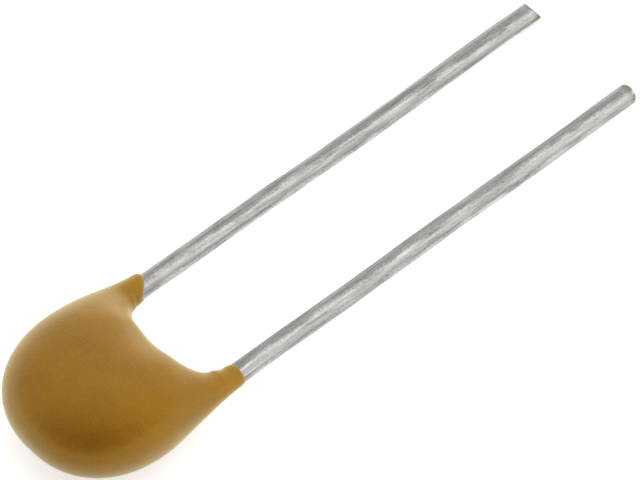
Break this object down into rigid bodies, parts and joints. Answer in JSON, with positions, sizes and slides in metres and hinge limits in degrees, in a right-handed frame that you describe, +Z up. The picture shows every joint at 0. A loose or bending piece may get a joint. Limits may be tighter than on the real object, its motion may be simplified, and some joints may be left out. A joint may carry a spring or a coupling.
{
  "type": "multilayer ceramic capacitor",
  "caption": "Radial ceramic capacitor: a small glossy ochre epoxy-dipped body with two straight parallel tinned wire leads, lying flat.",
  "frame": {"origin": "centre of the bounding box in X and Y, on the surface that the part lies on", "axes": "+X across the two wires, +Y along the wires towards their tips, +Z up; the part lies as it comes to rest, on the underside of its coat and on the wire tips"},
  "size_m": [0.0042, 0.0166, 0.0021],
  "materials": {
    "epoxy": "glossy dipped epoxy, ochre brown",
    "ceramic": "fired, matt cream",
    "electrode": "fired nickel film",
    "end_cap": "plated metal termination",
    "solder": "smooth solder",
    "tinned_wire": "satin tinned wire"
  },
  "bodies": {
    "root": {"epoxy_coat": "epoxy", "ceramic_block": "ceramic", "electrode_01": "electrode", "electrode_02": "electrode", "electrode_03": "electrode", "electrode_04": "electrode", "electrode_05": "electrode", "electrode_06": "electrode", "electrode_07": "electrode", "electrode_08": "electrode", "electrode_09": "electrode", "electrode_10": "electrode", "electrode_11": "electrode", "electrode_12": "electrode", "end_cap_left": "end_cap", "end_cap_right": "end_cap", "solder_left": "solder", "solder_right": "solder", "lead_left": "tinned_wire", "lead_right": "tinned_wire"}
  },
  "joints": []
}
